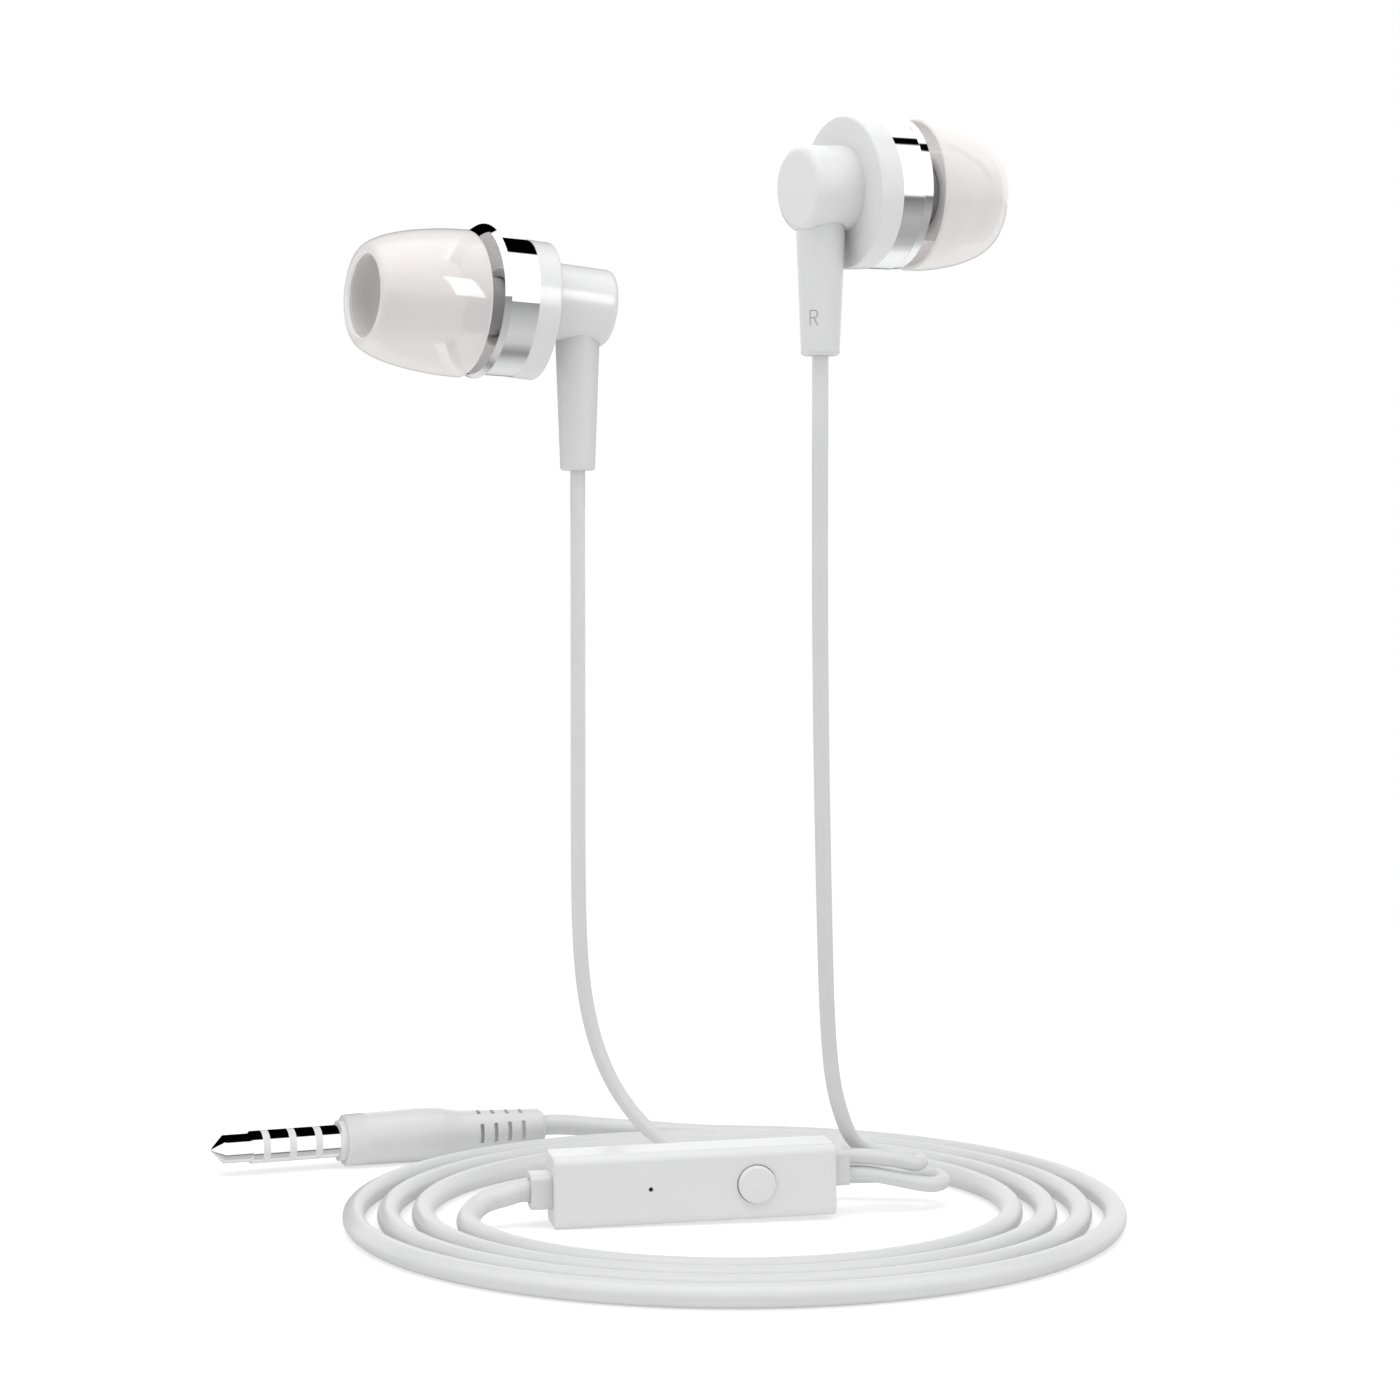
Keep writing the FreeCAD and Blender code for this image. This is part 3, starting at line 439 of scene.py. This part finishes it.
# ------------------------------------------------------------------ ear tips
def ear_tip(side, origin, axis, offset, depth, rim):
    """Thin outer skirt and thick core of one tip.

    The skirt's open rim, of radius rim, lies offset along the axis; depth is the skirt's length.
    Profiles are (radius, height above the rim).
    """
    outer = rounded_profile([
        (rim, 0.0), (rim - 0.08, depth * 0.19), (rim - 0.3, depth * 0.39),
        (rim - 0.9, depth * 0.69), (rim - 1.38, depth * 0.83), (rim - 1.93, depth * 0.935),
        (rim - 2.38, depth * 0.985), (min(4.75, rim - 2.62), depth)], 46)
    lip = [(4.46, depth + 0.01), (4.32, depth - 0.06), (4.22, depth - 0.25),
           (4.3, depth - 0.9), (4.42, depth - 1.8)]
    inner = rounded_profile([
        (4.5, depth - 2.5), (rim - 2.45, depth - 3.3), (rim - 1.7, depth * 0.5),
        (rim - 1.15, depth * 0.3), (rim - 0.78, depth * 0.13), (rim - 0.46, 0.0)], 30)
    rim_edge = [(rim - 0.34, -0.09), (rim - 0.18, -0.13), (rim - 0.05, -0.07)]
    core_outer = rounded_profile([
        (3.9, 1.25), (4.12, 1.4), (4.25, 1.8), (4.27, 3.5), (4.27, depth - 3.4),
        (4.27, depth - 2.0), (4.24, depth - 0.9)], 30)
    throat = rounded_profile([
        (4.2, depth - 0.4), (4.05, depth - 1.4), (3.7, depth - 2.9), (3.2, depth - 3.8),
        (3.05, depth - 4.2)], 16)
    bore = [(3.04, depth - 6.0), (3.04, 1.5), (3.2, 1.25)]

    base = np.array(origin) + np.array(axis) * offset
    skirt = revolve(side + "_tip_skirt", outer + lip + inner + rim_edge, base, axis,
                    MATERIALS["silicone"])
    core = revolve(side + "_tip_core", core_outer + [(4.2, depth - 0.4)] + throat[1:] + bore,
                   base, axis, CORE_PAINTED_SHADE)
    skirt.visible_shadow = False
    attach(skirt, side + "_tip")
    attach(core, side + "_tip")
    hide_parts(side + "_ear_tip")


ear_tip("left", origin=(-22.4775, 15.6349, 92.3208), axis=(-0.86953, -0.49195, 0.04362),
        offset=6.6, depth=11.0, rim=7.6)
ear_tip("right", origin=(11.9195, -14.6976, 101.1852), axis=(0.90259, 0.43051, 0.0),
        offset=5.2, depth=8.1, rim=7.2)


# ------------------------------------------------------------------ letter R on the right stem
def channel_letter():
    """Thin printed strokes laid on the front of the tapered stem."""
    foot_x, foot_y, foot_z = RIGHT_FOOT
    foot_radius, top_radius = 1.82, 2.3
    taper_height = 96.9 - foot_z
    ink_lift = 0.012
    letter_x, letter_z = -0.72, 2.75    # place of the letter's origin on the stem
    half_width = 0.055                  # of a stroke
    left, waist, top = -0.36, 0.72, 1.4

    def on_stem(across, height):
        """Point wrapped round the stem, from its front line and its foot."""
        radius = (foot_radius + (top_radius - foot_radius) * min(1.0, height / taper_height)
                  + ink_lift)
        a = across / radius
        return (foot_x + radius * math.sin(a), foot_y - radius * math.cos(a), foot_z + height)

    bowl = [(0.05 + 0.33 * math.sin(a), 1.06 + 0.34 * math.cos(a))
            for a in np.linspace(0, math.pi, 12)]
    strokes = [[(left, 0.0), (left, top)],
               [(left, top)] + bowl + [(left, waist)],
               [(0.02, waist), (0.40, 0.0)]]
    verts, faces = [], []
    for stroke in strokes:
        points = []
        for a, b in zip(stroke[:-1], stroke[1:]):
            for q in np.linspace(0, 1, 8, endpoint=False):
                points.append((a[0] + (b[0] - a[0]) * q, a[1] + (b[1] - a[1]) * q))
        points.append(stroke[-1])
        base = len(verts)
        for i, (x, z) in enumerate(points):
            a, b = points[max(0, i - 1)], points[min(len(points) - 1, i + 1)]
            dx, dz = b[0] - a[0], b[1] - a[1]
            length = math.hypot(dx, dz)
            side_x, side_z = -dz / length * half_width, dx / length * half_width
            for s in (-1, 1):
                verts.append(np.array(on_stem(letter_x + x + side_x * s,
                                              letter_z + z + side_z * s)) * MM)
        for i in range(base, base + 2 * len(points) - 2, 2):
            faces.append((i, i + 1, i + 3, i + 2))
    letter = mesh_object("right_channel_letter", verts, faces, INK, smooth=False)
    letter.modifiers.new("thick", "SOLIDIFY").thickness = 0.00002
    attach(letter, "right_earbud")


channel_letter()


# ------------------------------------------------------------------ floor and world
def white_floor():
    """Square floor that brightens outwards into the plain backdrop."""
    half = 3.0
    bm = bmesh.new()
    corners = ((-half, -half, 0), (half, -half, 0), (half, half, 0), (-half, half, 0))
    bm.faces.new([bm.verts.new(corner) for corner in corners])
    mesh = bpy.data.meshes.new("floor")
    bm.to_mesh(mesh)
    bm.free()
    floor = link_object("floor", mesh)
    floor.location.z = -0.00002
    material = bpy.data.materials.new("floor_white")
    tree, surface = start_tree(material)
    diffuse = add_node(tree, "BsdfDiffuse", {"Color": (0.50, 0.50, 0.50, 1)})
    glow = add_node(tree, "Emission", {"Strength": 0.52})
    near = add_node(tree, "AddShader", {0: diffuse, 1: glow})
    coords = add_node(tree, "TexCoord").outputs["Object"]
    distance = add_node(tree, "VectorMath", {0: coords}, operation="LENGTH").outputs["Value"]
    fade = add_node(tree, "MapRange", {"Value": distance, "From Min": 0.07, "From Max": 0.30})
    far = add_node(tree, "Emission", {"Strength": 1.0})
    tree.links.new(mix_shaders(tree, fade, near, far).outputs[0], surface)
    mesh.materials.append(material)
    floor.visible_glossy = False


# Angles of a ray in the YZ plane: 0 is towards the front, 90 straight up, 180 to the back.
STUDIO_TONES = [
    (-180, 0.95), (-150, 0.30), (-110, 0.55), (-75, 0.92), (-45, 0.85), (-30, 0.62),
    (-8, 0.36), (6, 0.34), (9, 1.25), (60, 1.45), (108, 1.2), (112, 0.3), (146, 0.3),
    (151, 1.1), (180, 1.1)]


def studio_world():
    """White to the camera, softer to diffuse rays, and banded in reflections."""
    world = bpy.data.worlds.new("studio")
    bpy.context.scene.world = world
    tree, surface = start_tree(world, "OutputWorld")
    coords = add_node(tree, "TexCoord").outputs["Generated"]
    ray = add_node(tree, "SeparateXYZ", {0: coords})
    front = calc(tree, "MULTIPLY", ray.outputs["Y"], -1.0)
    angle = calc(tree, "ARCTAN2", ray.outputs["Z"], front)
    tones = angle_ramp(tree, angle, STUDIO_TONES)
    path = add_node(tree, "LightPath")
    white = (1, 1, 1, 1)
    seen = add_node(tree, "Background", {"Color": white, "Strength": 1.0})
    reflected = add_node(tree, "Background", {"Color": tones, "Strength": 1.0})
    ambient = add_node(tree, "Background", {"Color": white, "Strength": 0.85})
    unseen = mix_shaders(tree, path.outputs["Is Glossy Ray"], ambient, reflected)
    final = mix_shaders(tree, path.outputs["Is Camera Ray"], unseen, seen)
    tree.links.new(final.outputs[0], surface)


white_floor()
studio_world()

# ------------------------------------------------------------------ reflectors
TENT_STRENGTH = 1.08


def softbox_strength(tree, ray, height, bearing_limits, height_limits, boost):
    """Emission strength, raised by boost inside a window of ray angles in degrees."""
    sideways = calc(tree, "MULTIPLY", ray.outputs["X"], -1.0)
    bearing = calc(tree, "ARCTAN2", sideways, ray.outputs["Y"])
    gate = None
    for angle, limits in ((bearing, bearing_limits), (height, height_limits)):
        for operation, limit in zip(("GREATER_THAN", "LESS_THAN"), limits):
            inside = calc(tree, operation, angle, math.radians(limit))
            gate = calc(tree, "MULTIPLY", gate, inside) if gate else inside
    return calc(tree, "MULTIPLY_ADD", gate, boost, TENT_STRENGTH)


def tent(name, centre, radius, stops, softbox=None):
    """Shell round a shiny part, seen only by reflections, its tone set by the ray's direction."""
    bm = bmesh.new()
    bmesh.ops.create_icosphere(bm, subdivisions=3, radius=radius * MM)
    mesh = bpy.data.meshes.new(name)
    bm.to_mesh(mesh)
    bm.free()
    shell = link_object(name, mesh)
    shell.location = [c * MM for c in centre]
    material = bpy.data.materials.new(name)
    tree, surface = start_tree(material)
    # Incoming points back along the ray, so its signs are turned round
    incoming = add_node(tree, "NewGeometry").outputs["Incoming"]
    ray = add_node(tree, "SeparateXYZ", {0: incoming})
    upward = calc(tree, "MULTIPLY", ray.outputs["Z"], -1.0)
    height = calc(tree, "ARCTAN2", upward, ray.outputs["Y"])
    tones = angle_ramp(tree, height, stops)
    glow = add_node(tree, "Emission", {"Color": tones, "Strength": TENT_STRENGTH})
    if softbox:
        strength = softbox_strength(tree, ray, height, **softbox)
        tree.links.new(strength.outputs[0], glow.inputs["Strength"])
    tree.links.new(glow.outputs[0], surface)
    mesh.materials.append(material)
    for kind in ("camera", "diffuse", "transmission", "volume_scatter", "shadow"):
        setattr(shell, "visible_" + kind, False)


tent("left_tent", centre=(-26.0, 13.5, 92.5), radius=24.0, stops=[
    (-180, 0.45), (-174, 0.17), (-160, 0.68), (-140, 0.75), (-122, 0.68), (-110, 0.5),
    (-102, 0.31), (-96, 0.29), (-81, 0.56), (-64, 0.60), (-41, 0.51), (-19, 0.42),
    (-4, 0.35), (2, 0.28), (5, 0.31), (8, 1.15), (112, 1.15), (113.5, 0.0), (171, 0.0),
    (174, 0.45), (180, 0.45)],
    softbox=dict(bearing_limits=(41, 52), height_limits=(8, 42), boost=9.0))
tent("right_tent", centre=(12.5, -14.0, 100.5), radius=24.0, stops=[
    (-180, 0.2), (-172, 0.2), (-160, 0.83), (-133, 0.93), (-118, 0.89), (-110, 0.65),
    (-102, 0.47), (-86, 0.38), (-56, 0.42), (-28, 0.26), (-18, 0.19), (-14, 0.27),
    (-11, 0.75), (-8, 1.1), (89, 1.1), (90.5, 0.0), (101.5, 0.0), (103, 1.1), (180, 1.1)])
tent("plug_tent", centre=(-50.0, 23.1, 2.85), radius=11.0, stops=[
    (-180, 0.30), (-150, 0.55), (-112, 0.80), (-88, 0.52), (-62, 0.50), (-57, 0.18),
    (-49, 0.22), (-46, 1.1), (67, 1.1), (69, 0.0), (176, 0.0), (180, 0.0)])


# ------------------------------------------------------------------ lights and camera
def area(name, location, target, size, power):
    """Rectangular light aimed at the target and hidden from reflections."""
    light = bpy.data.lights.new(name, "AREA")
    light.shape = "RECTANGLE"
    light.size, light.size_y = size
    light.energy = power
    lamp = link_object(name, light)
    lamp.location = location
    aim = Vector(target) - Vector(location)
    lamp.rotation_euler = aim.to_track_quat("-Z", "Y").to_euler()
    lamp.visible_glossy = False


area("top_box", location=(0.0, -0.15, 0.75), target=(0, 0, 0.04), size=(0.7, 0.5), power=3.2)
area("left_box", location=(-0.7, -0.45, 0.35), target=(0, 0, 0.06), size=(0.4, 0.5), power=0.6)
area("right_box", location=(0.7, -0.35, 0.30), target=(0, 0, 0.06), size=(0.3, 0.5), power=0.5)

DOWNWARD_PITCH = 2.95       # degrees below level
camera_data = bpy.data.cameras.new("camera")
camera_data.lens = 83.6
camera_data.sensor_width = 36.0
camera_data.clip_start = 0.01
camera_data.clip_end = 20.0
camera = link_object("camera", camera_data)
camera.location = (-0.0035, -0.325, 0.069)
camera.rotation_euler = (math.radians(90.0 - DOWNWARD_PITCH), 0, 0)
bpy.context.scene.camera = camera
bpy.context.scene.view_settings.view_transform = "Standard"
